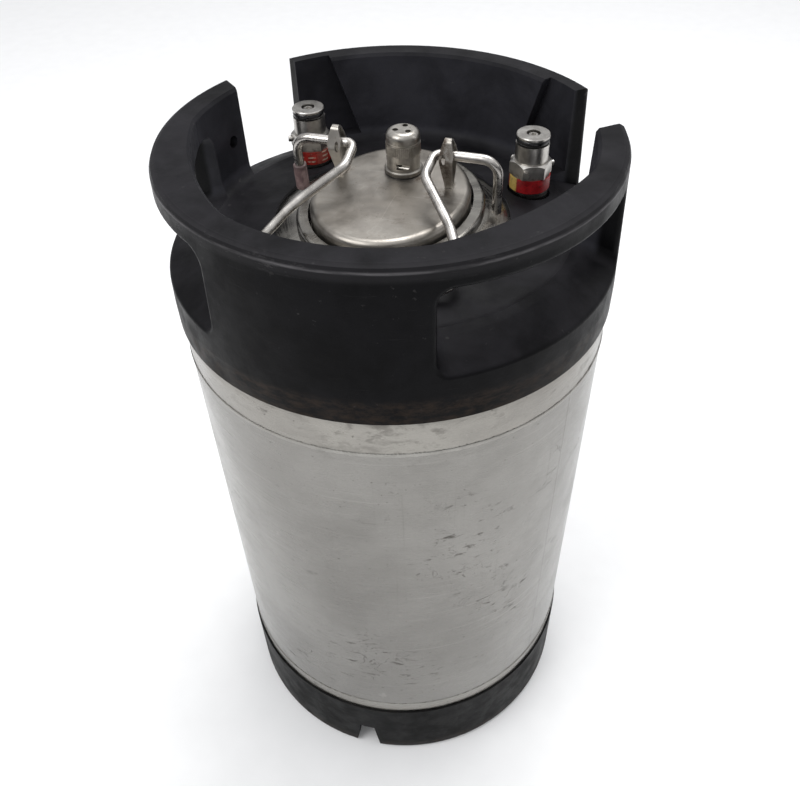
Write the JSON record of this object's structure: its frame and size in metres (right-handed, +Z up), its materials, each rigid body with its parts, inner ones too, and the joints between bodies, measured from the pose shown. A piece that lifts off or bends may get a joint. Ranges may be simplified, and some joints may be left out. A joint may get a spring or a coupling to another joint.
{
  "type": "soda keg",
  "caption": "Cylindrical stainless drink keg with rubber collar and boot, oval clamped lid with relief valve, and gas and liquid posts.",
  "frame": {"origin": "on the floor under the keg's axis", "axes": "+Z up along the keg's axis; +X towards the liquid post's side, through the right bail foot; -Y towards the bail's free loop"},
  "size_m": [0.2314, 0.2314, 0.414],
  "materials": {
    "shell_steel": "satin, scuffed",
    "collar_rubber": "matt moulded, dusty",
    "boot_rubber": "matt moulded",
    "lid_steel": "pressed, dull",
    "wire_steel": "drawn wire",
    "foot_plastic": "soft vinyl, aged",
    "valve_steel": "turned",
    "spring_steel": "drawn wire",
    "seal_rubber": "smooth",
    "post_steel": "turned",
    "gas_tape": "printed vinyl tape",
    "liquid_tape": "vinyl tape"
  },
  "bodies": {
    "keg": {"bottom_boot": "boot_rubber", "bottom_head": "shell_steel", "gas_dip_tube": "post_steel", "gas_dip_tube_ring": "seal_rubber", "gas_pins": "post_steel", "gas_poppet_spring": "spring_steel", "gas_port": "shell_steel", "gas_post": "post_steel", "gas_post_ring": "seal_rubber", "gas_tape_band": "gas_tape", "liquid_dip_tube": "post_steel", "liquid_dip_tube_ring": "seal_rubber", "liquid_pins": "post_steel", "liquid_poppet_spring": "spring_steel", "liquid_port": "shell_steel", "liquid_post": "post_steel", "liquid_post_ring": "seal_rubber", "liquid_tape_band": "liquid_tape", "lower_weld_bead": "shell_steel", "shell_wall": "shell_steel", "top_collar": "collar_rubber", "top_head": "shell_steel", "upper_weld_bead": "shell_steel"},
    "lid": {"lid_plate": "lid_steel", "lid_gasket": "seal_rubber", "bail_ear_left": "lid_steel", "bail_ear_right": "lid_steel", "relief_body": "valve_steel", "relief_washer": "seal_rubber", "relief_nut": "valve_steel", "relief_spring": "spring_steel"},
    "bail": {"bail_wire": "wire_steel", "bail_foot_cap": "foot_plastic"},
    "relief_poppet": {"relief_poppet": "valve_steel", "relief_seal": "seal_rubber"},
    "gas_poppet": {"gas_poppet": "post_steel", "gas_poppet_seal": "seal_rubber"},
    "liquid_poppet": {"liquid_poppet": "post_steel", "liquid_poppet_seal": "seal_rubber"}
  },
  "joints": [
    {"name": "lid_drop", "type": "slide", "parent": "keg", "child": "lid", "axis": [0, 0, -1], "range_m": [0, 0.006]},
    {"name": "bail_lift", "type": "hinge", "parent": "lid", "child": "bail", "pos_m": [0, 0.0065, 0.4025], "axis": [-1, 0, 0], "range_deg": [0, 100]},
    {"name": "relief_poppet_rise", "type": "slide", "parent": "lid", "child": "relief_poppet", "axis": [0, 0, 1], "range_m": [0, 0.0025], "stiffness_N_per_m": 600, "springref_m": -0.003, "deforming": ["relief_spring"]},
    {"name": "gas_poppet_press", "type": "slide", "parent": "keg", "child": "gas_poppet", "axis": [0, 0, -1], "range_m": [0, 0.003], "stiffness_N_per_m": 600, "springref_m": -0.003, "deforming": ["gas_poppet_spring"]},
    {"name": "liquid_poppet_press", "type": "slide", "parent": "keg", "child": "liquid_poppet", "axis": [0, 0, -1], "range_m": [0, 0.003], "stiffness_N_per_m": 600, "springref_m": -0.003, "deforming": ["liquid_poppet_spring"]}
  ],
  "couplings": [
    {"joint": "lid_drop", "follows": "bail_lift", "m_per_rad": 0.0034}
  ]
}
